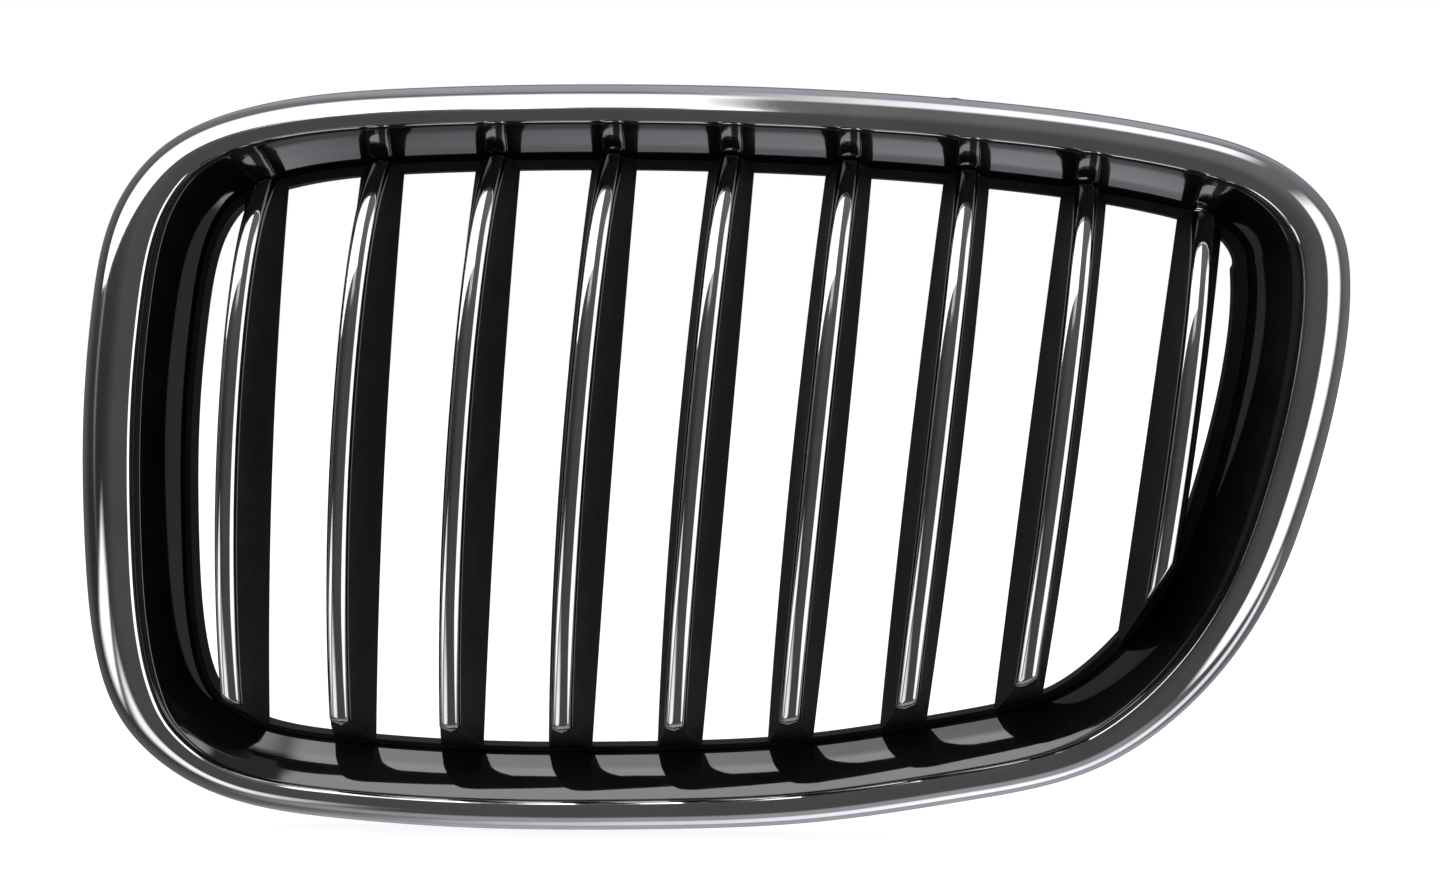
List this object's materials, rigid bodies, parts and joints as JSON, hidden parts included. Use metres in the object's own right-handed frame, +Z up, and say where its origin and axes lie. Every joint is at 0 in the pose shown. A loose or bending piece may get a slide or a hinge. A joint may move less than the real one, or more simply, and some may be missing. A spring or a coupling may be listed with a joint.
{
  "type": "front grille",
  "caption": "Left-hand half of a split front grille: a bright rounded surround, a black funnel behind it, and leaning upright fins with bright nose strips.",
  "frame": {"origin": "middle of the upper pair of screw holes, on the rear face of their ears", "axes": "+X to the right seen from the front, +Y to the rear along the screws, +Z up"},
  "size_m": [0.418, 0.0884, 0.2558],
  "materials": {
    "bright_plating": "bright plating over moulded plastic, polished",
    "bright_strip": "bright plating over moulded plastic, polished, slightly darker",
    "gloss_black": "smooth high-gloss black",
    "satin_black": "fine satin black",
    "steel_fixings": "zinc-plated steel"
  },
  "bodies": {
    "root": {"chrome_surround": "bright_plating", "collar": "gloss_black", "slat_frame": "satin_black", "slat_1": "satin_black", "slat_2": "satin_black", "slat_3": "satin_black", "slat_4": "satin_black", "slat_5": "satin_black", "slat_6": "satin_black", "slat_7": "satin_black", "slat_8": "satin_black", "slat_9": "satin_black", "slat_cap_1": "bright_strip", "slat_cap_2": "bright_strip", "slat_cap_3": "bright_strip", "slat_cap_4": "bright_strip", "slat_cap_5": "bright_strip", "slat_cap_6": "bright_strip", "slat_cap_7": "bright_strip", "slat_cap_8": "bright_strip", "slat_cap_9": "bright_strip", "surround_screws": "steel_fixings", "frame_screws": "steel_fixings", "body_clips": "steel_fixings"}
  },
  "joints": []
}
